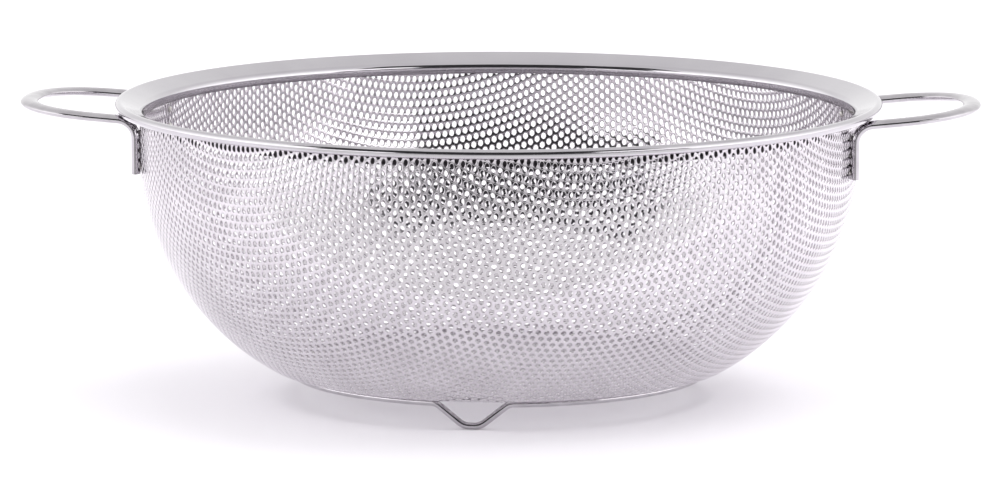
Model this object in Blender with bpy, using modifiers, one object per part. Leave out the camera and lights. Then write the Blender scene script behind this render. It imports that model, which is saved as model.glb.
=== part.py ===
"""Perforated steel colander: a pressed bowl, a folded rim band over a wire, two loop handles of
flattened wire and a wire base ring whose own wire is bent down into three feet.

Metres, +Z up. The origin is on the table under the bowl's centre, X runs between the two handles, and
the first foot is towards -Y. Neighbours that are welded or folded together keep a gap of SEAM.
"""

import math

import bmesh
import bpy
from mathutils import Matrix, Vector

NAME = "colander"
SEAM = 0.0003
CLEARANCE = 0.00005
MERGE_DISTANCE = 0.00001
ROUND_STEPS = 72

# sheet
SHEET = 0.0005
WALL_RADIUS = 0.1337
BOTTOM_Z = 0.0110
UPPER_ARC_RADIUS = 0.0944
LOWER_ARC_RADIUS = 0.0170
ARC_JOINT = math.radians(60)
UPPER_ARC_STEPS = 6
LOWER_ARC_STEPS = 8

# rim band: an inner lip, a face that slopes down inwards, an outer bead and a hem under the flange
BEAD_RADIUS = 0.00175
BEAD_CENTRE_RADIUS = 0.14125
BEAD_Z = 0.11025
FACE_SLOPE = math.radians(23)
BEND_RADIUS = 0.0025
LIP_RADIUS = WALL_RADIUS - 2 * SHEET - SEAM
LIP_BOTTOM_Z = 0.1045
HEM_END_RADIUS = 0.1382
FLANGE_END_RADIUS = 0.1396
BEND_STEPS = 4
BEAD_STEPS = 8
RIM_WIRE_RADIUS = BEAD_RADIUS - SHEET - SEAM - CLEARANCE
RIM_WIRE_SIDES = 8

# handles
HANDLE_WIDTH = 0.0068
HANDLE_THICKNESS = 0.0033
HANDLE_HALF_WIDTH = 0.034
HANDLE_TIP_X = 0.1764
HANDLE_OVAL_START_X = 0.146
HANDLE_OVAL_POWER = 2.3
LEFT_TILT = math.radians(4.3)
RIGHT_TILT = math.radians(5.2)
HANDLE_TURN = math.radians(3.2)
HANDLE_BEND_RADIUS = 0.007
LEG_END_Z = 0.0863
HANDLE_BEND_STEPS = 6
HANDLE_OVAL_STEPS = 12
HANDLE_SIDES = 12

# base ring
RING_WIRE = 0.0013
RING_RADIUS = 0.0766
RING_Z = 0.0094
RING_TURN = math.radians(-4)
FOOT_COUNT = 3
FOOT_SLOPE = math.radians(38)
FOOT_LOWER_BEND = 0.0065
FOOT_UPPER_BEND = 0.005
FOOT_FLAT_HALF = 0.0008
FOOT_BEND_STEPS = 3
RING_SPAN_STEPS = 20
WIRE_SIDES = 8
WIRE_BEVEL = 2

# finishes
STEEL_COLOUR = (0.80, 0.79, 0.82, 1.0)
SATIN = 0.35
HIDDEN = 0.3
POLISHED = 0.2


def clear_scene():
    for item in list(bpy.data.objects):
        bpy.data.objects.remove(item)


def steel(name, roughness):
    material = bpy.data.materials.new(name)
    material.use_nodes = True
    surface = material.node_tree.nodes["Principled BSDF"]
    surface.inputs["Base Color"].default_value = STEEL_COLOUR
    surface.inputs["Metallic"].default_value = 1.0
    surface.inputs["Roughness"].default_value = roughness
    return material


def add_part(name, data, roughness, collection):
    part = bpy.data.objects.new(name, data)
    data.materials.append(steel(name, roughness))
    collection.objects.link(part)
    return part


def arc(centre, radius, start, end, steps):
    """Points on a circle in a section or plan, from one angle to another."""
    points = []
    for step in range(steps + 1):
        angle = start + (end - start) * step / steps
        points.append((centre[0] + radius * math.cos(angle), centre[1] + radius * math.sin(angle)))
    return points


def turned_shell(name, section, roughness, collection):
    """A shell of sheet thickness, turned about Z from one side of its section, which it grows away from.

    The section runs from the axis or the inner edge outwards and up, or down its outer side.
    """
    mesh = bpy.data.meshes.new(name)
    verts = [(radius, 0.0, height) for radius, height in section]
    edges = [(i, i + 1) for i in range(len(verts) - 1)]
    mesh.from_pydata(verts, edges, [])
    shell = add_part(name, mesh, roughness, collection)
    turn = shell.modifiers.new("turn", "SCREW")
    turn.steps = ROUND_STEPS
    turn.render_steps = ROUND_STEPS
    turn.use_merge_vertices = True
    turn.merge_threshold = MERGE_DISTANCE
    turn.use_smooth_shade = True
    thickness = shell.modifiers.new("sheet", "SOLIDIFY")
    thickness.thickness = SHEET
    thickness.offset = -1.0
    thickness.use_even_offset = True
    return shell


def wire(name, points, closed, radius, tilt, roughness, collection):
    """A round wire through the points."""
    curve = bpy.data.curves.new(name, "CURVE")
    curve.dimensions = "3D"
    curve.bevel_depth = radius
    curve.bevel_resolution = WIRE_BEVEL
    curve.use_fill_caps = not closed
    curve.twist_mode = "Z_UP" if closed else "MINIMUM"
    spline = curve.splines.new("POLY")
    spline.points.add(len(points) - 1)
    for point, place in zip(spline.points, points):
        point.co = (*place, 1.0)
        point.tilt = tilt
    spline.use_cyclic_u = closed
    spline.use_smooth = True
    return add_part(name, curve, roughness, collection)


def bend_centre():
    """Centre of the bend between lip and face, set so that the face is tangent to the bead."""
    radius = LIP_RADIUS + BEND_RADIUS
    across = (BEAD_CENTRE_RADIUS - radius) * math.sin(FACE_SLOPE)
    height = BEAD_Z + (BEAD_RADIUS - BEND_RADIUS - across) / math.cos(FACE_SLOPE)
    return radius, height


def bowl_section():
    """The bowl's outer face, from the flange's edge down the wall to the centre of the flat bottom."""
    under_band = 2 * SHEET + SEAM
    face_normal = math.pi / 2 + FACE_SLOPE
    centre = bend_centre()
    bend = arc(centre, BEND_RADIUS - under_band, face_normal, math.pi, BEND_STEPS)
    run = FLANGE_END_RADIUS - bend[0][0]
    flange_end = (FLANGE_END_RADIUS, bend[0][1] + run * math.tan(FACE_SLOPE))

    lower_centre_z = BOTTOM_Z + LOWER_ARC_RADIUS
    arc_step = UPPER_ARC_RADIUS - LOWER_ARC_RADIUS
    upper_centre = (WALL_RADIUS - UPPER_ARC_RADIUS, lower_centre_z + arc_step * math.sin(ARC_JOINT))
    lower_centre = (upper_centre[0] + arc_step * math.cos(ARC_JOINT), lower_centre_z)
    upper = arc(upper_centre, UPPER_ARC_RADIUS, 0.0, -ARC_JOINT, UPPER_ARC_STEPS)
    lower = arc(lower_centre, LOWER_ARC_RADIUS, -ARC_JOINT, -math.pi / 2, LOWER_ARC_STEPS)
    return [flange_end] + bend + upper + lower[1:] + [(0.0, BOTTOM_Z)]


def rim_section():
    """The band's outer face, from the lip's lower edge over the face and the bead to the hem's edge."""
    face_normal = math.pi / 2 + FACE_SLOPE
    bend = arc(bend_centre(), BEND_RADIUS, math.pi, face_normal, BEND_STEPS)
    bead_centre = (BEAD_CENTRE_RADIUS, BEAD_Z)
    bead = arc(bead_centre, BEAD_RADIUS, face_normal, -math.pi / 2, BEAD_STEPS)
    return [(LIP_RADIUS, LIP_BOTTOM_Z)] + bend + bead + [(HEM_END_RADIUS, BEAD_Z - BEAD_RADIUS)]


def make_rim_wire(collection):
    """The wire that fills the band's bead."""
    mesh = bpy.data.meshes.new("rim_wire")
    ring = bmesh.new()
    start = arc((BEAD_CENTRE_RADIUS, BEAD_Z), RIM_WIRE_RADIUS, 0.0, 2 * math.pi, RIM_WIRE_SIDES)[:-1]
    verts = [ring.verts.new((radius, 0.0, height)) for radius, height in start]
    loop = [ring.edges.new((verts[i - 1], verts[i])) for i in range(len(verts))]
    bmesh.ops.spin(ring, geom=verts + loop, axis=(0, 0, 1), angle=2 * math.pi, steps=ROUND_STEPS,
                   use_merge=True)
    bmesh.ops.recalc_face_normals(ring, faces=ring.faces)
    ring.to_mesh(mesh)
    ring.free()
    mesh.shade_smooth()
    return add_part("rim_wire", mesh, HIDDEN, collection)


def leg_radius():
    """Distance from the axis to a leg's middle, where the oval clears the round wall by SEAM."""
    slant = math.asin(HANDLE_HALF_WIDTH / WALL_RADIUS)
    reach = math.hypot(HANDLE_THICKNESS / 2 * math.cos(slant), HANDLE_WIDTH / 2 * math.sin(slant))
    return WALL_RADIUS + SEAM + reach


def handle_side(tilt):
    """One side of a handle at +X, from the leg's lower end to the loop's tip, which rises by the tilt."""
    leg_x = math.sqrt(leg_radius()**2 - HANDLE_HALF_WIDTH**2)
    strand_z = BEAD_Z - BEAD_RADIUS - SEAM - HANDLE_THICKNESS / 2 - CLEARANCE
    bend_z = strand_z - HANDLE_BEND_RADIUS
    bend = arc((leg_x + HANDLE_BEND_RADIUS, bend_z), HANDLE_BEND_RADIUS, math.pi,
               math.pi / 2 + tilt, HANDLE_BEND_STEPS)
    points = [(leg_x, HANDLE_HALF_WIDTH, LEG_END_Z)]
    points += [(x, HANDLE_HALF_WIDTH, z) for x, z in bend]
    reach = HANDLE_TIP_X - HANDLE_OVAL_START_X
    for step in range(HANDLE_OVAL_STEPS + 1):
        angle = math.pi / 2 * step / HANDLE_OVAL_STEPS
        x = HANDLE_OVAL_START_X + reach * math.sin(angle)**(2 / HANDLE_OVAL_POWER)
        y = HANDLE_HALF_WIDTH * max(math.cos(angle), 0.0)**(2 / HANDLE_OVAL_POWER)
        points.append((x, y, bend[-1][1] + (x - bend[-1][0]) * math.tan(tilt)))
    return points


def handle_rings(tilt):
    """The oval section round each point of a handle at +X; its wide way lies in the loop."""
    half = handle_side(tilt)
    points = [Vector(point) for point in half + [(x, -y, z) for x, y, z in reversed(half[:-1])]]
    rings = []
    for index, point in enumerate(points):
        along = points[min(index + 1, len(points) - 1)] - points[max(index - 1, 0)]
        across = Vector((-along.y, along.x, 0.0))
        if across.length < MERGE_DISTANCE:
            across = Vector((0.0, point.y, 0.0))
        across.normalize()
        upright = along.cross(across).normalized()
        section = arc((0.0, 0.0), 1.0, 0.0, 2 * math.pi, HANDLE_SIDES)[:-1]
        rings.append([point + across * (u * HANDLE_WIDTH / 2) + upright * (v * HANDLE_THICKNESS / 2)
                      for u, v in section])
    return rings


def make_handle(name, side, tilt, collection):
    """A loop of flattened wire on one side of the bowl, set round towards the back by HANDLE_TURN."""
    loop = bmesh.new()
    rings = [[loop.verts.new(place) for place in ring] for ring in handle_rings(tilt)]
    for one, two in zip(rings, rings[1:]):
        for k in range(HANDLE_SIDES):
            loop.faces.new((one[k - 1], one[k], two[k], two[k - 1]))
    loop.faces.new(rings[0])
    loop.faces.new(rings[-1])
    loop.transform(Matrix.Diagonal((side, 1.0, 1.0, 1.0)) @ Matrix.Rotation(HANDLE_TURN, 4, "Z"))
    bmesh.ops.recalc_face_normals(loop, faces=loop.faces)
    mesh = bpy.data.meshes.new(name)
    loop.to_mesh(mesh)
    loop.free()
    mesh.shade_smooth()
    return add_part(name, mesh, POLISHED, collection)


def foot_outline():
    """One half of a foot: distance along the ring from the foot's middle, and height."""
    foot_z = RING_WIRE * math.cos(math.pi / WIRE_SIDES)
    low = arc((FOOT_FLAT_HALF, foot_z + FOOT_LOWER_BEND), FOOT_LOWER_BEND, -math.pi / 2,
              -math.pi / 2 + FOOT_SLOPE, FOOT_BEND_STEPS)
    bends_rise = (FOOT_LOWER_BEND + FOOT_UPPER_BEND) * (1 - math.cos(FOOT_SLOPE))
    straight_run = (RING_Z - foot_z - bends_rise) / math.tan(FOOT_SLOPE)
    top_x = low[-1][0] + straight_run + FOOT_UPPER_BEND * math.sin(FOOT_SLOPE)
    high = arc((top_x, RING_Z - FOOT_UPPER_BEND), FOOT_UPPER_BEND, math.pi / 2 + FOOT_SLOPE,
               math.pi / 2, FOOT_BEND_STEPS)
    return low + high


def make_base_ring(collection):
    half = foot_outline()
    foot = [(-along, height) for along, height in reversed(half)] + half
    half_angle = half[-1][0] / RING_RADIUS
    pitch = 2 * math.pi / FOOT_COUNT
    points = []
    for index in range(FOOT_COUNT):
        middle = -math.pi / 2 + RING_TURN + index * pitch
        for along, height in foot:
            angle = middle + along / RING_RADIUS
            points.append((RING_RADIUS * math.cos(angle), RING_RADIUS * math.sin(angle), height))
        for step in range(1, RING_SPAN_STEPS):
            angle = middle + half_angle + (pitch - 2 * half_angle) * step / RING_SPAN_STEPS
            points.append((RING_RADIUS * math.cos(angle), RING_RADIUS * math.sin(angle), RING_Z))
    return wire("base_ring", points, True, RING_WIRE, math.pi / WIRE_SIDES, POLISHED, collection)


def main():
    clear_scene()
    collection = bpy.data.collections.new(NAME)
    bpy.context.scene.collection.children.link(collection)
    turned_shell("bowl", bowl_section(), SATIN, collection)
    turned_shell("rim_band", rim_section(), POLISHED, collection)
    make_rim_wire(collection)
    make_handle("handle_left", -1, LEFT_TILT, collection)
    make_handle("handle_right", 1, RIGHT_TILT, collection)
    make_base_ring(collection)


main()
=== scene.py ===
"""Looks of the perforated steel colander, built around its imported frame.

Metres, +Z up, in the frame's own place: origin on the table under the bowl's centre, X between the two
handles, the camera towards -Y. The bowl is rebuilt with its real holes, and the rim band, the handles and
the base ring are rebuilt as the same shapes with finer sections. The rim's hidden wire stays as it is.
"""

import math

import bmesh
import bpy
from mathutils import Matrix, Vector


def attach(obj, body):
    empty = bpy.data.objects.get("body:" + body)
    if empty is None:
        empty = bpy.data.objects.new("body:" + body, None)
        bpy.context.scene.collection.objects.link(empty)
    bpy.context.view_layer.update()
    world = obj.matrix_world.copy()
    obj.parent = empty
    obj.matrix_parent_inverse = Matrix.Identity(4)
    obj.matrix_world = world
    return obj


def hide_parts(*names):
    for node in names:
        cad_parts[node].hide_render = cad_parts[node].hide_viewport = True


# the same sizes as the CAD model's
SEAM = 0.0003
CLEARANCE = 0.00005
SHEET = 0.0005
WALL_RADIUS = 0.1337
BOTTOM_Z = 0.0110
UPPER_ARC_RADIUS = 0.0944
LOWER_ARC_RADIUS = 0.0170
ARC_JOINT = math.radians(60)
BEAD_RADIUS = 0.00175
BEAD_CENTRE_RADIUS = 0.14125
BEAD_Z = 0.11025
FACE_SLOPE = math.radians(23)
BEND_RADIUS = 0.0025
LIP_RADIUS = WALL_RADIUS - 2 * SHEET - SEAM
LIP_BOTTOM_Z = 0.1045
HEM_END_RADIUS = 0.1382
FLANGE_END_RADIUS = 0.1396
HANDLE_WIDTH = 0.0068
HANDLE_THICKNESS = 0.0033
HANDLE_HALF_WIDTH = 0.034
HANDLE_TIP_X = 0.1764
HANDLE_OVAL_START_X = 0.146
HANDLE_OVAL_POWER = 2.3
LEFT_TILT = math.radians(4.3)
RIGHT_TILT = math.radians(5.2)
HANDLE_TURN = math.radians(3.2)
HANDLE_BEND_RADIUS = 0.007
LEG_END_Z = 0.0863
RING_WIRE = 0.0013
RING_RADIUS = 0.0766
RING_Z = 0.0094
RING_TURN = math.radians(-4)
FOOT_COUNT = 3
FOOT_SLOPE = math.radians(38)
FOOT_LOWER_BEND = 0.0065
FOOT_UPPER_BEND = 0.005
FOOT_FLAT_HALF = 0.0008
CAD_WIRE_SIDES = 8

# perforation, punched in the flat blank before it is pressed
HOLE_PITCH = 0.00295
HOLE_SHARE = 0.66
HOLE_ROUNDING = 0.00033
ROW_ANGLE = math.radians(17)
CENTRE_STRETCH = 1.39
BLANK_MARGIN = 0.0004
RIPPLE = 0.00015
RIPPLE_FULL_SQUEEZE = 0.20
RIPPLE_FOCUS = 8
SECTORS = 8
TABLE_STEPS = 1500
FLAT_LIMIT = 1e-9
HEX_SIDES = 6
ROW_PITCH = HOLE_PITCH * math.cos(math.pi / HEX_SIDES)

# finer sections than the CAD model's
ROUND_STEPS = 288
BEND_STEPS = 14
BEAD_STEPS = 28
WIRE_BEVEL = 8
HANDLE_BEND_STEPS = 18
HANDLE_OVAL_STEPS = 60
HANDLE_SIDES = 48
FOOT_BEND_STEPS = 10
RING_SPAN_STEPS = 90

# welds
LEG_WELDS_Z = (0.0890, 0.0953, 0.1016)
LEG_WELD_SIZE = (0.0009, 0.0011, 0.0013)
RING_WELDS = 12
RING_WELD_SIZE = (0.0010, 0.0013, 0.0007)

# camera
CAMERA_DISTANCE = 2.8
CAMERA_ELEVATION = math.radians(8.553)
CAMERA_AZIMUTH = math.radians(3.3)
CAMERA_TARGET_Z = 0.05604
CAMERA_TARGET_RIGHT = 0.0005
CAMERA_LENS = 269.5
CAMERA_SENSOR = 36.0

# the part of a noise texture's range that a material uses
NOISE_RANGE = (0.3, 0.7)
TINT_RANGE = (0.35, 0.65)
BRUSH_STRETCH = 0.004

# studio: floor and overhead light
FLOOR_HALF_SIDE = 8.0
FLOOR_COLOUR = (0.92, 0.90, 0.935)
OVERHEAD_PLACE = (0.3, 0.1, 1.6)
OVERHEAD_SIDE = 1.6
OVERHEAD_POWER = 19.0

# studio: dark screens, by the angles they span from -Y towards +X and by their heights
FLAG_DISTANCE = 2.6
FLAG_STEPS = 24
FLAG_COLOUR = (0.02, 0.02, 0.022)
CURVED_FLAGS = {
    "flag_low": ((-26, 60), (-0.02, 0.5)),
    "flag_high": ((-52, 32), (0.5, 1.5)),
    "flag_top": ((-66, 56), (1.5, 3.6)),
}
MATT = 0.9

# studio: card on the floor in front, and how its brightness falls with distance
FLOOR_FLAG_SIDES = (-0.45, 0.55)
FLOOR_FLAG_NEAR_Y = -0.16
FLOOR_FLAG_FAR_Y = -2.6
FLOOR_FLAG_Z = 0.001
FLOOR_LIGHT = 0.74
FLOOR_DARK = 0.26
FLOOR_FADE = 0.55

# studio: brightness of the surroundings
ZENITH_LEVEL = 0.86
ZENITH_FROM = 0.8
HORIZON_LEVELS = (1.1, 2.4)
HORIZON_RANGE = (0.3, 1.0)
HORIZON_FRONT_WEIGHT = 0.4


# ---------------------------------------------------------------- sections

def arc(centre, radius, start, end, steps):
    """Points on a circle in a section or plan, from one angle to another."""
    points = []
    for step in range(steps + 1):
        angle = start + (end - start) * step / steps
        points.append((centre[0] + radius * math.cos(angle), centre[1] + radius * math.sin(angle)))
    return points


def bend_centre():
    """Centre of the bend between lip and face, set so that the face is tangent to the bead."""
    radius = LIP_RADIUS + BEND_RADIUS
    across = (BEAD_CENTRE_RADIUS - radius) * math.sin(FACE_SLOPE)
    height = BEAD_Z + (BEAD_RADIUS - BEND_RADIUS - across) / math.cos(FACE_SLOPE)
    return radius, height


def lower_arc_centre():
    """Centre of the arc between the flat bottom and the side, in the section."""
    arc_step = UPPER_ARC_RADIUS - LOWER_ARC_RADIUS
    radius = WALL_RADIUS - UPPER_ARC_RADIUS + arc_step * math.cos(ARC_JOINT)
    return radius, BOTTOM_Z + LOWER_ARC_RADIUS


def bowl_section():
    """The CAD bowl's outer face, from the centre of the flat bottom up the wall to the flange's edge."""
    under_band = 2 * SHEET + SEAM
    face_normal = math.pi / 2 + FACE_SLOPE
    lower_centre = lower_arc_centre()
    arc_step = UPPER_ARC_RADIUS - LOWER_ARC_RADIUS
    upper_centre = (WALL_RADIUS - UPPER_ARC_RADIUS, lower_centre[1] + arc_step * math.sin(ARC_JOINT))
    lower = arc(lower_centre, LOWER_ARC_RADIUS, -math.pi / 2, -ARC_JOINT, TABLE_STEPS)
    upper = arc(upper_centre, UPPER_ARC_RADIUS, -ARC_JOINT, 0.0, TABLE_STEPS)
    bend = arc(bend_centre(), BEND_RADIUS - under_band, math.pi, face_normal, BEND_STEPS)
    run = FLANGE_END_RADIUS - bend[-1][0]
    flange_end = (FLANGE_END_RADIUS, bend[-1][1] + run * math.tan(FACE_SLOPE))
    return [(0.0, BOTTOM_Z)] + lower + upper[1:] + bend + [flange_end]


def rim_section():
    """The band's outer face, from the lip's lower edge over the face and the bead to the hem's edge."""
    face_normal = math.pi / 2 + FACE_SLOPE
    bend = arc(bend_centre(), BEND_RADIUS, math.pi, face_normal, BEND_STEPS)
    bead = arc((BEAD_CENTRE_RADIUS, BEAD_Z), BEAD_RADIUS, face_normal, -math.pi / 2, BEAD_STEPS)
    return [(LIP_RADIUS, LIP_BOTTOM_Z)] + bend + bead + [(HEM_END_RADIUS, BEAD_Z - BEAD_RADIUS)]


# ---------------------------------------------------------------- making pieces

def add_piece(name, data, material, slot, *nodes):
    """A piece that rides on the one body and stands for CAD nodes."""
    piece = bpy.data.objects.new(name, data)
    bpy.context.scene.collection.objects.link(piece)
    data.materials.append(material)
    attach(piece, "root")
    if nodes:
        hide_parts(*nodes)
    return piece


def add_thickness(piece):
    """Sheet thickness, growing from each face against its normal."""
    thickness = piece.modifiers.new("sheet", "SOLIDIFY")
    thickness.thickness = SHEET
    thickness.offset = -1.0
    return thickness


# ---------------------------------------------------------------- pierced bowl

def turned(u, v):
    """A lattice vector turned by 60 degrees."""
    return -v, u + v


def cell_outline():
    """The 12 points round a hole's hexagonal cell, in sixths of the lattice's two steps."""
    middle, corner = (3, 0), (2, 2)
    outline = []
    for _ in range(HEX_SIDES):
        outline += [middle, corner]
        middle = turned(*middle)
        corner = turned(*corner)
    return outline


def lattice_point(u, v):
    """Flat position of a point given in sixths of the lattice's steps; a web lies on the axis."""
    u = (u + 2) / HEX_SIDES
    v = (v + 2) / HEX_SIDES
    x = u * math.cos(ROW_ANGLE) + v * math.cos(ROW_ANGLE + math.pi / 3)
    y = u * math.sin(ROW_ANGLE) + v * math.sin(ROW_ANGLE + math.pi / 3)
    return x * HOLE_PITCH, y * HOLE_PITCH


HOLE_ORIGIN = lattice_point(0, 0)


class BlankToBowl:
    """Carries a point of the flat blank to the CAD bowl's outer face.

    Pressing stretches the sheet most at the centre, by CENTRE_STRETCH in area, and not at all at the
    blank's edge. Area is counted outwards from the centre on both, which fixes the height of each ring.
    """

    def __init__(self):
        self.section = bowl_section()
        self.areas = [0.0]
        for (r0, z0), (r1, z1) in zip(self.section, self.section[1:]):
            self.areas.append(self.areas[-1] + (r0 + r1) * math.hypot(r1 - r0, z1 - z0))
        self.blank_radius = math.sqrt(self.areas[-1] / ((CENTRE_STRETCH + 1) / 2))

    def ring(self, flat_radius):
        """Radius and height on the bowl of a circle drawn on the blank, and the outward normal there."""
        share = (flat_radius / self.blank_radius) ** 2
        local = CENTRE_STRETCH - (CENTRE_STRETCH - 1) * share
        grown = (CENTRE_STRETCH**2 - local**2) / (2 * (CENTRE_STRETCH - 1))
        area = grown * self.blank_radius**2
        low = 0
        high = len(self.areas) - 1
        while high - low > 1:
            middle = (low + high) // 2
            if self.areas[middle] <= area:
                low = middle
            else:
                high = middle
        (r0, z0), (r1, z1) = self.section[low], self.section[high]
        rest = area - self.areas[low]
        length = math.hypot(r1 - r0, z1 - z0)
        slope = (r1 - r0) / length
        if abs(slope) * rest < r0 * r0 * FLAT_LIMIT:
            run = rest / (2 * r0) if r0 else 0.0
        else:
            run = (math.sqrt(max(r0 * r0 + slope * rest, 0.0)) - r0) / slope
        part = run / length
        return (r0 + (r1 - r0) * part, z0 + (z1 - z0) * part), ((z1 - z0) / length, (r0 - r1) / length)

    def place(self, x, y):
        flat_radius = math.hypot(x, y)
        if flat_radius == 0.0:
            return 0.0, 0.0, BOTTOM_Z
        kept = min(flat_radius, self.blank_radius)
        (radius, height), normal = self.ring(kept)
        squeeze = (1 - radius / kept) / RIPPLE_FULL_SQUEEZE
        rise = ripple(x, y) * min(max(squeeze, 0.0), 1.0)
        radius += rise * normal[0]
        height += rise * normal[1]
        return radius * x / flat_radius, radius * y / flat_radius, height


def ripple(x, y):
    """Pressing squeezes the blank round its axis and leaves each row of holes a little proud.

    The rows that run across the radius stand out most.
    """
    towards = math.atan2(y, x)
    first_angle = ROW_ANGLE - math.pi / 2
    x -= HOLE_ORIGIN[0]
    y -= HOLE_ORIGIN[1]
    rise = 0.0
    for index in range(HEX_SIDES // 2):
        across_rows = first_angle + index * math.pi / 3
        distance = x * math.cos(across_rows) + y * math.sin(across_rows)
        weight = abs(math.cos(towards - across_rows)) ** RIPPLE_FOCUS
        rise += weight * math.cos(2 * math.pi * distance / ROW_PITCH)
    return rise * RIPPLE


def sector_cells(blank_radius):
    """The lattice's cells, shared out into sectors by the angle of their centres."""
    reach = math.ceil(blank_radius / ROW_PITCH) + 1
    cells = [[] for _ in range(SECTORS)]
    for i in range(-reach, reach + 1):
        for j in range(-reach, reach + 1):
            x, y = lattice_point(i * HEX_SIDES, j * HEX_SIDES)
            if math.hypot(x, y) < blank_radius + HOLE_PITCH / 2:
                turn = (math.atan2(y, x) / (2 * math.pi)) % 1.0
                cells[int(turn * SECTORS) % SECTORS].append((i, j))
    return cells


def pierced_mesh(name, cells, blank):
    """One sector of the bowl's sheet: two rings of faces round each hole, inside its own cell.

    The rings' normals point into the bowl, so the sheet grows outwards and stands SHEET outside the CAD
    bowl's outer face. The closed cells at the blank's edge are wound the other way, and grow inwards.
    """
    outline = cell_outline()
    hole_radius = HOLE_SHARE * HOLE_PITCH / 2
    verts = []
    shared = {}
    faces = []

    def add(x, y):
        verts.append(blank.place(x, y))
        return len(verts) - 1

    for i, j in cells:
        keys = [(i * HEX_SIDES + u, j * HEX_SIDES + v) for u, v in outline]
        flat = [lattice_point(*key) for key in keys]
        inside = [math.hypot(*point) < blank.blank_radius - BLANK_MARGIN for point in flat]
        if not any(inside):
            continue
        for key, point in zip(keys, flat):
            if key not in shared:
                shared[key] = add(*point)
        border = [shared[key] for key in keys]
        if not all(inside):
            faces.append(tuple(reversed(border)))
            continue
        centre = lattice_point(i * HEX_SIDES, j * HEX_SIDES)
        rings = [border]
        for radius in (hole_radius + HOLE_ROUNDING, hole_radius):
            edge = arc(centre, radius, ROW_ANGLE, ROW_ANGLE + 2 * math.pi, len(border))[:-1]
            rings.append([add(*point) for point in edge])
        for outer, inner in zip(rings, rings[1:]):
            for k in range(len(border)):
                faces.append((outer[k], inner[k], inner[k - 1], outer[k - 1]))
    mesh = bpy.data.meshes.new(name)
    mesh.from_pydata(verts, [], faces)
    mesh.shade_smooth()
    sharpen_border(mesh, set(shared.values()))
    return mesh


def sharpen_border(mesh, border_verts):
    """Keeps the shading of a sector's open edge flat, so that it runs on into the next sector."""
    sheet = bmesh.new()
    sheet.from_mesh(mesh)
    for edge in sheet.edges:
        if edge.is_boundary and edge.verts[0].index in border_verts:
            edge.smooth = False
    sheet.to_mesh(mesh)
    sheet.free()


def make_bowl(material):
    """The bowl's sheet in sectors with real holes, in place of the CAD bowl."""
    blank = BlankToBowl()
    for index, cells in enumerate(sector_cells(blank.blank_radius)):
        name = f"bowl_sector_{index + 1}"
        sector = add_piece(name, pierced_mesh(name, cells, blank), material, "pierced_sheet", "bowl")
        add_thickness(sector)


# ---------------------------------------------------------------- rim band

def make_rim_band(material, crevice_shade):
    """The folded band, turned round the axis; its hidden inner side has a duller finish and is painted
    near black as shade.
    """
    mesh = bpy.data.meshes.new("rim_band_fine")
    verts = [(radius, 0.0, height) for radius, height in rim_section()]
    mesh.from_pydata(verts, [(i, i + 1) for i in range(len(verts) - 1)], [])
    band = add_piece("rim_band_fine", mesh, material, "rim_sheet", "rim_band")
    turn = band.modifiers.new("turn", "SCREW")
    turn.steps = ROUND_STEPS
    turn.render_steps = ROUND_STEPS
    turn.use_merge_vertices = True
    turn.merge_threshold = CLEARANCE / 10
    turn.use_smooth_shade = True
    sheet = add_thickness(band)
    sheet.use_even_offset = True
    # the inner side takes the second material, painted near black as shade
    sheet.material_offset = 1
    mesh.materials.append(crevice_shade)


# ---------------------------------------------------------------- wires

def closed_wire(name, points, radius, material, slot, node):
    """A round wire through the points and back to the first, in place of a CAD wire."""
    curve = bpy.data.curves.new(name, "CURVE")
    curve.dimensions = "3D"
    curve.bevel_depth = radius
    curve.bevel_resolution = WIRE_BEVEL
    curve.twist_mode = "Z_UP"
    spline = curve.splines.new("POLY")
    spline.points.add(len(points) - 1)
    for point, place in zip(spline.points, points):
        point.co = (*place, 1.0)
    spline.use_cyclic_u = True
    spline.use_smooth = True
    return add_piece(name, curve, material, slot, node)


def leg_radius():
    """Distance from the axis to a leg's middle, where the oval clears the CAD bowl's wall by SEAM."""
    slant = math.asin(HANDLE_HALF_WIDTH / WALL_RADIUS)
    reach = math.hypot(HANDLE_THICKNESS / 2 * math.cos(slant), HANDLE_WIDTH / 2 * math.sin(slant))
    return WALL_RADIUS + SEAM + reach


def handle_side(tilt):
    """One side of a handle at +X, from the leg's lower end to the loop's tip, which rises by the tilt."""
    leg_x = math.sqrt(leg_radius()**2 - HANDLE_HALF_WIDTH**2)
    strand_z = BEAD_Z - BEAD_RADIUS - SEAM - HANDLE_THICKNESS / 2 - CLEARANCE
    bend_z = strand_z - HANDLE_BEND_RADIUS
    bend = arc((leg_x + HANDLE_BEND_RADIUS, bend_z), HANDLE_BEND_RADIUS, math.pi,
               math.pi / 2 + tilt, HANDLE_BEND_STEPS)
    points = [(leg_x, HANDLE_HALF_WIDTH, LEG_END_Z)]
    points += [(x, HANDLE_HALF_WIDTH, z) for x, z in bend]
    reach = HANDLE_TIP_X - HANDLE_OVAL_START_X
    for step in range(HANDLE_OVAL_STEPS + 1):
        angle = math.pi / 2 * step / HANDLE_OVAL_STEPS
        x = HANDLE_OVAL_START_X + reach * math.sin(angle)**(2 / HANDLE_OVAL_POWER)
        y = HANDLE_HALF_WIDTH * max(math.cos(angle), 0.0)**(2 / HANDLE_OVAL_POWER)
        points.append((x, y, bend[-1][1] + (x - bend[-1][0]) * math.tan(tilt)))
    return points


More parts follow.
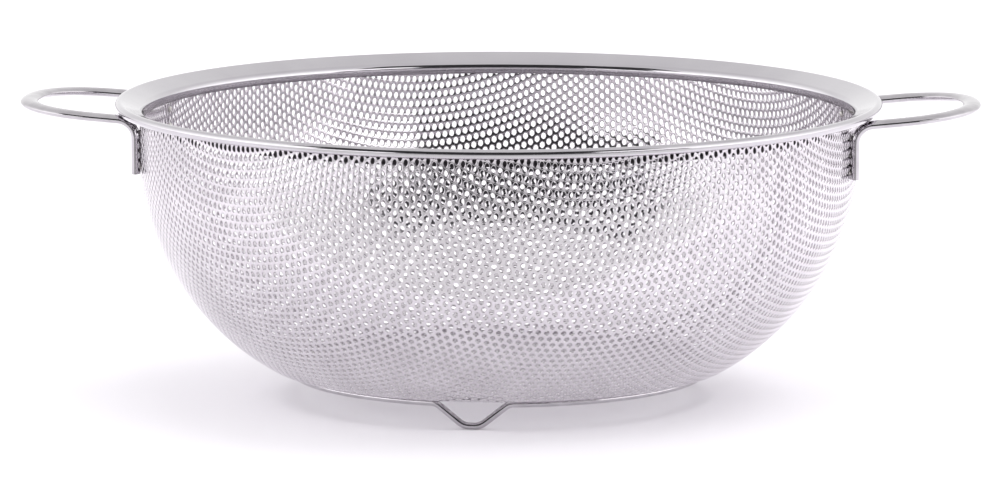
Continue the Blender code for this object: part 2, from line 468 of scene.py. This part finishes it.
def handle_rings(tilt):
    """The oval section round each point of a handle at +X; its wide way lies in the loop."""
    half = handle_side(tilt)
    points = [Vector(point) for point in half + [(x, -y, z) for x, y, z in reversed(half[:-1])]]
    rings = []
    for index, point in enumerate(points):
        along = points[min(index + 1, len(points) - 1)] - points[max(index - 1, 0)]
        across = Vector((-along.y, along.x, 0.0))
        if across.length < CLEARANCE / 10:
            across = Vector((0.0, point.y, 0.0))
        across.normalize()
        upright = along.cross(across).normalized()
        section = arc((0.0, 0.0), 1.0, 0.0, 2 * math.pi, HANDLE_SIDES)[:-1]
        rings.append([point + across * (u * HANDLE_WIDTH / 2) + upright * (v * HANDLE_THICKNESS / 2)
                      for u, v in section])
    return rings


def make_handle(name, side, tilt, material):
    """A loop of flattened wire on one side of the bowl, set round towards the back by HANDLE_TURN."""
    loop = bmesh.new()
    rings = [[loop.verts.new(place) for place in ring] for ring in handle_rings(tilt)]
    for one, two in zip(rings, rings[1:]):
        for k in range(HANDLE_SIDES):
            loop.faces.new((one[k - 1], one[k], two[k], two[k - 1]))
    for end in (rings[0], rings[-1]):
        cap = loop.faces.new(end)
        for edge in cap.edges:
            edge.smooth = False
    loop.transform(Matrix.Diagonal((side, 1.0, 1.0, 1.0)) @ Matrix.Rotation(HANDLE_TURN, 4, "Z"))
    bmesh.ops.recalc_face_normals(loop, faces=loop.faces)
    mesh = bpy.data.meshes.new(f"{name}_fine")
    loop.to_mesh(mesh)
    loop.free()
    mesh.polygons.foreach_set("use_smooth", [True] * len(mesh.polygons))
    add_piece(f"{name}_fine", mesh, material, "handle_wire", name)


def foot_outline():
    """One half of a foot: distance along the ring from the foot's middle, and height."""
    foot_z = RING_WIRE * math.cos(math.pi / CAD_WIRE_SIDES)
    low = arc((FOOT_FLAT_HALF, foot_z + FOOT_LOWER_BEND), FOOT_LOWER_BEND, -math.pi / 2,
              -math.pi / 2 + FOOT_SLOPE, FOOT_BEND_STEPS)
    bends_rise = (FOOT_LOWER_BEND + FOOT_UPPER_BEND) * (1 - math.cos(FOOT_SLOPE))
    straight_run = (RING_Z - foot_z - bends_rise) / math.tan(FOOT_SLOPE)
    top_x = low[-1][0] + straight_run + FOOT_UPPER_BEND * math.sin(FOOT_SLOPE)
    high = arc((top_x, RING_Z - FOOT_UPPER_BEND), FOOT_UPPER_BEND, math.pi / 2 + FOOT_SLOPE,
               math.pi / 2, FOOT_BEND_STEPS)
    return low + high


def make_base_ring(material):
    """The closed base wire: V-shaped feet and the level spans between them."""
    half = foot_outline()
    foot = [(-along, height) for along, height in reversed(half)] + half
    half_angle = half[-1][0] / RING_RADIUS
    pitch = 2 * math.pi / FOOT_COUNT
    points = []
    for index in range(FOOT_COUNT):
        middle = -math.pi / 2 + RING_TURN + index * pitch
        for along, height in foot:
            angle = middle + along / RING_RADIUS
            points.append((RING_RADIUS * math.cos(angle), RING_RADIUS * math.sin(angle), height))
        for step in range(1, RING_SPAN_STEPS):
            angle = middle + half_angle + (pitch - 2 * half_angle) * step / RING_SPAN_STEPS
            points.append((RING_RADIUS * math.cos(angle), RING_RADIUS * math.sin(angle), RING_Z))
    closed_wire("base_ring_fine", points, RING_WIRE, material, "base_wire", "base_ring")


# ---------------------------------------------------------------- welds

def weld_spots(name, places, size, material, slot):
    """Flattened beads of weld; each place is (radius, angle, height)."""
    mesh = bpy.data.meshes.new(name)
    spots = bmesh.new()
    for radius, angle, height in places:
        turn = Matrix.Rotation(angle, 4, "Z")
        at = turn @ Matrix.Translation((radius, 0.0, height)) @ Matrix.Diagonal((*size, 1.0))
        bmesh.ops.create_uvsphere(spots, u_segments=20, v_segments=12, radius=1.0, matrix=at)
    spots.to_mesh(mesh)
    spots.free()
    mesh.shade_smooth()
    add_piece(name, mesh, material, slot)


def make_welds(material):
    """Three welds down each handle leg, and a row of spots between the base ring and the bottom."""
    leg_angle = math.asin(HANDLE_HALF_WIDTH / leg_radius())
    places = []
    for side_angle in (HANDLE_TURN, math.pi - HANDLE_TURN):
        for leg in (-leg_angle, leg_angle):
            places += [(WALL_RADIUS + SEAM / 2, side_angle + leg, height) for height in LEG_WELDS_Z]
    weld_spots("handle_welds", places, LEG_WELD_SIZE, material, "handle_wire")

    height = BOTTOM_Z - SEAM / 2
    step = 2 * math.pi / RING_WELDS
    first = RING_TURN - math.pi / 2 + step / 2
    places = [(RING_RADIUS, first + index * step, height) for index in range(RING_WELDS)]
    weld_spots("ring_welds", places, RING_WELD_SIZE, material, "base_wire")


# ---------------------------------------------------------------- materials

def new_material(name):
    """A material with its node and link lists."""
    material = bpy.data.materials.new(name)
    material.use_nodes = True
    return material, material.node_tree.nodes, material.node_tree.links


def noise(nodes, links, vector, scale, detail):
    """A noise value; the scale is in waves per metre of the vector."""
    texture = nodes.new("ShaderNodeTexNoise")
    texture.inputs["Scale"].default_value = scale
    texture.inputs["Detail"].default_value = detail
    links.new(vector, texture.inputs["Vector"])
    return texture.outputs["Fac"]


def spread(nodes, links, value, low, high):
    """A noise value, 0 to 1, carried to the range low to high."""
    span = nodes.new("ShaderNodeMapRange")
    span.inputs["From Min"].default_value = NOISE_RANGE[0]
    span.inputs["From Max"].default_value = NOISE_RANGE[1]
    span.inputs["To Min"].default_value = low
    span.inputs["To Max"].default_value = high
    links.new(value, span.inputs["Value"])
    return span.outputs["Result"]


def bump(nodes, links, height, distance, strength):
    """A normal from a relief that is distance deep at full strength."""
    relief = nodes.new("ShaderNodeBump")
    relief.inputs["Strength"].default_value = strength
    relief.inputs["Distance"].default_value = distance
    links.new(height, relief.inputs["Height"])
    return relief.outputs["Normal"]


def tinted(nodes, links, value, dark, light):
    """A colour between dark and light, set by a noise value."""
    ramp = nodes.new("ShaderNodeValToRGB")
    for element, position, colour in zip(ramp.color_ramp.elements, TINT_RANGE, (dark, light)):
        element.position = position
        element.color = (*colour, 1.0)
    links.new(value, ramp.inputs["Fac"])
    return ramp.outputs["Color"]


def ring_coordinates(nodes, links):
    """Coordinates that run round the axis, for marks left by turning: angle, radius, height."""
    place = nodes.new("ShaderNodeTexCoord").outputs["Object"]
    split = nodes.new("ShaderNodeSeparateXYZ")
    links.new(place, split.inputs[0])
    angle = nodes.new("ShaderNodeMath")
    angle.operation = "ARCTAN2"
    links.new(split.outputs["Y"], angle.inputs[0])
    links.new(split.outputs["X"], angle.inputs[1])
    stretched = nodes.new("ShaderNodeMath")
    stretched.operation = "MULTIPLY"
    stretched.inputs[1].default_value = BRUSH_STRETCH
    links.new(angle.outputs[0], stretched.inputs[0])
    flat = nodes.new("ShaderNodeCombineXYZ")
    links.new(split.outputs["X"], flat.inputs["X"])
    links.new(split.outputs["Y"], flat.inputs["Y"])
    radius = nodes.new("ShaderNodeVectorMath")
    radius.operation = "LENGTH"
    links.new(flat.outputs[0], radius.inputs[0])
    joined = nodes.new("ShaderNodeCombineXYZ")
    links.new(stretched.outputs[0], joined.inputs["X"])
    links.new(radius.outputs["Value"], joined.inputs["Y"])
    links.new(split.outputs["Z"], joined.inputs["Z"])
    return joined.outputs[0]


def pierced_steel():
    """Pressed and electropolished sheet: bright, slightly wavy, with fine rolling grain."""
    material, nodes, links = new_material("pierced_steel")
    surface = nodes["Principled BSDF"]
    place = nodes.new("ShaderNodeTexCoord").outputs["Object"]
    waves = noise(nodes, links, place, scale=55.0, detail=2.0)
    grain = noise(nodes, links, place, scale=2600.0, detail=3.0)
    surface.inputs["Metallic"].default_value = 1.0
    links.new(tinted(nodes, links, waves, dark=(0.65, 0.617, 0.655), light=(0.71, 0.677, 0.715)),
              surface.inputs["Base Color"])
    links.new(spread(nodes, links, grain, low=0.07, high=0.12), surface.inputs["Roughness"])
    links.new(bump(nodes, links, grain, distance=0.00002, strength=0.15), surface.inputs["Normal"])
    return material


def rim_steel():
    """Satin band, brushed round the axis."""
    material, nodes, links = new_material("rim_steel")
    surface = nodes["Principled BSDF"]
    round_axis = ring_coordinates(nodes, links)
    place = nodes.new("ShaderNodeTexCoord").outputs["Object"]
    brushing = noise(nodes, links, round_axis, scale=5200.0, detail=4.0)
    handling = noise(nodes, links, place, scale=30.0, detail=3.0)
    surface.inputs["Metallic"].default_value = 1.0
    links.new(tinted(nodes, links, handling, dark=(0.56, 0.538, 0.57), light=(0.61, 0.588, 0.62)),
              surface.inputs["Base Color"])
    links.new(spread(nodes, links, brushing, low=0.07, high=0.12), surface.inputs["Roughness"])
    links.new(bump(nodes, links, brushing, distance=0.000015, strength=0.2), surface.inputs["Normal"])
    return material


def wire_steel(name, roughness_low, roughness_high):
    """Drawn and polished wire."""
    material, nodes, links = new_material(name)
    surface = nodes["Principled BSDF"]
    place = nodes.new("ShaderNodeTexCoord").outputs["Object"]
    mottle = noise(nodes, links, place, scale=180.0, detail=3.0)
    grain = noise(nodes, links, place, scale=3800.0, detail=2.0)
    surface.inputs["Metallic"].default_value = 1.0
    links.new(tinted(nodes, links, mottle, dark=(0.49, 0.468, 0.495), light=(0.57, 0.547, 0.575)),
              surface.inputs["Base Color"])
    links.new(spread(nodes, links, mottle, low=roughness_low, high=roughness_high),
              surface.inputs["Roughness"])
    links.new(bump(nodes, links, grain, distance=0.00001, strength=0.2), surface.inputs["Normal"])
    return material


def weld_steel():
    """Fused metal, duller and a little straw-coloured from the heat."""
    material, nodes, links = new_material("weld_steel")
    surface = nodes["Principled BSDF"]
    place = nodes.new("ShaderNodeTexCoord").outputs["Object"]
    beads = noise(nodes, links, place, scale=1500.0, detail=3.0)
    surface.inputs["Metallic"].default_value = 1.0
    links.new(tinted(nodes, links, beads, dark=(0.55, 0.52, 0.50), light=(0.72, 0.70, 0.69)),
              surface.inputs["Base Color"])
    links.new(spread(nodes, links, beads, low=0.30, high=0.45), surface.inputs["Roughness"])
    links.new(bump(nodes, links, beads, distance=0.0001, strength=0.5), surface.inputs["Normal"])
    return material


def shaded_crevice_steel():
    """The band's unpolished inner side, which shows only through the holes behind the lip. Its near-black
    colour is painted shade for the gap behind the lip; its roughness is the duller finish.
    """
    material, nodes, links = new_material("shaded_crevice_steel")
    surface = nodes["Principled BSDF"]
    place = nodes.new("ShaderNodeTexCoord").outputs["Object"]
    scale = noise(nodes, links, place, scale=700.0, detail=3.0)
    surface.inputs["Metallic"].default_value = 1.0
    # painted shade: near-black colour that stands for the shade in the gap between the band's lip and the
    # bowl
    links.new(tinted(nodes, links, scale, dark=(0.05, 0.045, 0.05), light=(0.12, 0.11, 0.12)),
              surface.inputs["Base Color"])
    links.new(spread(nodes, links, scale, low=0.5, high=0.7), surface.inputs["Roughness"])
    return material


def carry_over(node, material):
    """Gives a CAD node that stays a finished material."""
    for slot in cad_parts[node].material_slots:
        slot.material = material


# ---------------------------------------------------------------- studio

def floor_paper():
    """Matt, faintly lilac paper with a fine tooth."""
    material, nodes, links = new_material("floor_paper")
    surface = nodes["Principled BSDF"]
    place = nodes.new("ShaderNodeTexCoord").outputs["Object"]
    tooth = noise(nodes, links, place, scale=900.0, detail=2.0)
    surface.inputs["Base Color"].default_value = (*FLOOR_COLOUR, 1.0)
    surface.inputs["Roughness"].default_value = MATT
    links.new(bump(nodes, links, tooth, distance=0.00005, strength=0.1), surface.inputs["Normal"])
    return material


def make_floor():
    """A wide floor under the object."""
    mesh = bpy.data.meshes.new("floor")
    floor = bmesh.new()
    bmesh.ops.create_grid(floor, x_segments=1, y_segments=1, size=FLOOR_HALF_SIDE)
    floor.to_mesh(mesh)
    floor.free()
    plane = bpy.data.objects.new("floor", mesh)
    bpy.context.scene.collection.objects.link(plane)
    mesh.materials.append(floor_paper())


def make_overhead_light():
    """One large soft light above the object, turned towards its foot, that mirrors don't see."""
    data = bpy.data.lights.new("overhead", "AREA")
    data.shape = "SQUARE"
    data.size = OVERHEAD_SIDE
    data.energy = OVERHEAD_POWER
    lamp = bpy.data.objects.new("overhead", data)
    bpy.context.scene.collection.objects.link(lamp)
    lamp.location = OVERHEAD_PLACE
    lamp.rotation_euler = (-Vector(OVERHEAD_PLACE)).to_track_quat("-Z", "Y").to_euler()
    lamp.visible_glossy = False


def add_flag(name, mesh, material):
    """A screen that only mirrors see."""
    card = bpy.data.objects.new(name, mesh)
    bpy.context.scene.collection.objects.link(card)
    mesh.materials.append(material)
    card.visible_camera = False
    card.visible_diffuse = False
    card.visible_shadow = False


def curved_flag(name, azimuths, heights):
    """A dark curved screen: it stands for the unlit studio behind the camera."""
    mesh = bpy.data.meshes.new(name)
    start, end = [math.radians(azimuth) - math.pi / 2 for azimuth in azimuths]
    plan = arc((0.0, 0.0), FLAG_DISTANCE, start, end, FLAG_STEPS)
    verts = [(x, y, height) for height in heights for x, y in plan]
    count = len(plan)
    mesh.from_pydata(verts, [], [(i, i + 1, count + i + 1, count + i) for i in range(count - 1)])
    material, nodes, _ = new_material(name)
    surface = nodes["Principled BSDF"]
    surface.inputs["Base Color"].default_value = (*FLAG_COLOUR, 1.0)
    surface.inputs["Roughness"].default_value = MATT
    add_flag(name, mesh, material)


def floor_flag(name):
    """A card just over the floor that darkens away from the object, as the table does past the light."""
    mesh = bpy.data.meshes.new(name)
    left, right = FLOOR_FLAG_SIDES
    corners = [(left, FLOOR_FLAG_NEAR_Y), (left, FLOOR_FLAG_FAR_Y),
               (right, FLOOR_FLAG_FAR_Y), (right, FLOOR_FLAG_NEAR_Y)]
    mesh.from_pydata([(x, y, FLOOR_FLAG_Z) for x, y in corners], [], [(0, 1, 2, 3)])
    material, nodes, links = new_material(name)
    surface = nodes["Principled BSDF"]
    place = nodes.new("ShaderNodeTexCoord").outputs["Object"]
    split = nodes.new("ShaderNodeSeparateXYZ")
    links.new(place, split.inputs[0])
    away = nodes.new("ShaderNodeMapRange")
    away.inputs["From Min"].default_value = FLOOR_FLAG_NEAR_Y
    away.inputs["From Max"].default_value = FLOOR_FLAG_NEAR_Y - FLOOR_FADE
    away.inputs["To Min"].default_value = FLOOR_LIGHT
    away.inputs["To Max"].default_value = FLOOR_DARK
    links.new(split.outputs["Y"], away.inputs["Value"])
    links.new(away.outputs["Result"], surface.inputs["Base Color"])
    surface.inputs["Roughness"].default_value = MATT
    add_flag(name, mesh, material)


def make_flags():
    """All the screens that shape the reflections."""
    for name, (azimuths, heights) in CURVED_FLAGS.items():
        curved_flag(name, azimuths, heights)
    floor_flag("flag_floor")


def make_world():
    """A white studio, brightest low down at the front's two sides, and plain white behind the object."""
    world = bpy.data.worlds.new("studio")
    bpy.context.scene.world = world
    world.use_nodes = True
    nodes, links = world.node_tree.nodes, world.node_tree.links
    direction = nodes.new("ShaderNodeTexCoord").outputs["Generated"]
    split = nodes.new("ShaderNodeSeparateXYZ")
    links.new(direction, split.inputs[0])
    sideways = nodes.new("ShaderNodeMath")
    sideways.operation = "ABSOLUTE"
    links.new(split.outputs["X"], sideways.inputs[0])
    forwards = nodes.new("ShaderNodeMath")
    forwards.operation = "MULTIPLY_ADD"
    forwards.inputs[1].default_value = -HORIZON_FRONT_WEIGHT
    links.new(split.outputs["Y"], forwards.inputs[0])
    links.new(sideways.outputs[0], forwards.inputs[2])
    horizon = nodes.new("ShaderNodeMapRange")
    horizon.inputs["From Min"].default_value = HORIZON_RANGE[0]
    horizon.inputs["From Max"].default_value = HORIZON_RANGE[1]
    horizon.inputs["To Min"].default_value = HORIZON_LEVELS[0]
    horizon.inputs["To Max"].default_value = HORIZON_LEVELS[1]
    links.new(forwards.outputs[0], horizon.inputs["Value"])
    height = nodes.new("ShaderNodeMapRange")
    height.inputs["From Min"].default_value = 0.0
    height.inputs["From Max"].default_value = ZENITH_FROM
    height.inputs["To Max"].default_value = ZENITH_LEVEL
    links.new(split.outputs["Z"], height.inputs["Value"])
    links.new(horizon.outputs["Result"], height.inputs["To Min"])
    links.new(height.outputs["Result"], nodes["Background"].inputs["Color"])


def make_camera():
    """A camera with no tilt, turned and raised round its target."""
    back = Vector((math.sin(CAMERA_AZIMUTH) * math.cos(CAMERA_ELEVATION),
                   -math.cos(CAMERA_AZIMUTH) * math.cos(CAMERA_ELEVATION),
                   math.sin(CAMERA_ELEVATION)))
    right = Vector((math.cos(CAMERA_AZIMUTH), math.sin(CAMERA_AZIMUTH), 0.0))
    target = Vector((0.0, 0.0, CAMERA_TARGET_Z)) + right * CAMERA_TARGET_RIGHT
    data = bpy.data.cameras.new("camera")
    data.lens = CAMERA_LENS
    data.sensor_width = CAMERA_SENSOR
    data.sensor_fit = "HORIZONTAL"
    camera = bpy.data.objects.new("camera", data)
    bpy.context.scene.collection.objects.link(camera)
    camera.location = target + back * CAMERA_DISTANCE
    camera.rotation_mode = "QUATERNION"
    camera.rotation_quaternion = (-back).to_track_quat("-Z", "Y")
    bpy.context.scene.camera = camera


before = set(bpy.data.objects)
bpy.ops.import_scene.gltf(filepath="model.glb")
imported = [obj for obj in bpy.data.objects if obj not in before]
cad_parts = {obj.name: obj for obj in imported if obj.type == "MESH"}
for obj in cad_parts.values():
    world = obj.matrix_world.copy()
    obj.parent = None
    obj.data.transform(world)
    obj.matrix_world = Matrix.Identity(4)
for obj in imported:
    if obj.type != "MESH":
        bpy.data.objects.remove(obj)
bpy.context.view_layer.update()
bpy.context.scene.view_settings.view_transform = "Standard"
make_camera()
make_world()
make_floor()
make_overhead_light()
make_flags()
sheet_finish = pierced_steel()
wire_finish = wire_steel("handle_steel", roughness_low=0.04, roughness_high=0.08)
ring_finish = wire_steel("ring_steel", roughness_low=0.06, roughness_high=0.11)
make_bowl(sheet_finish)
make_rim_band(rim_steel(), shaded_crevice_steel())
make_handle("handle_left", -1, LEFT_TILT, wire_finish)
make_handle("handle_right", 1, RIGHT_TILT, wire_finish)
make_base_ring(ring_finish)
make_welds(weld_steel())
carry_over("rim_wire", ring_finish)
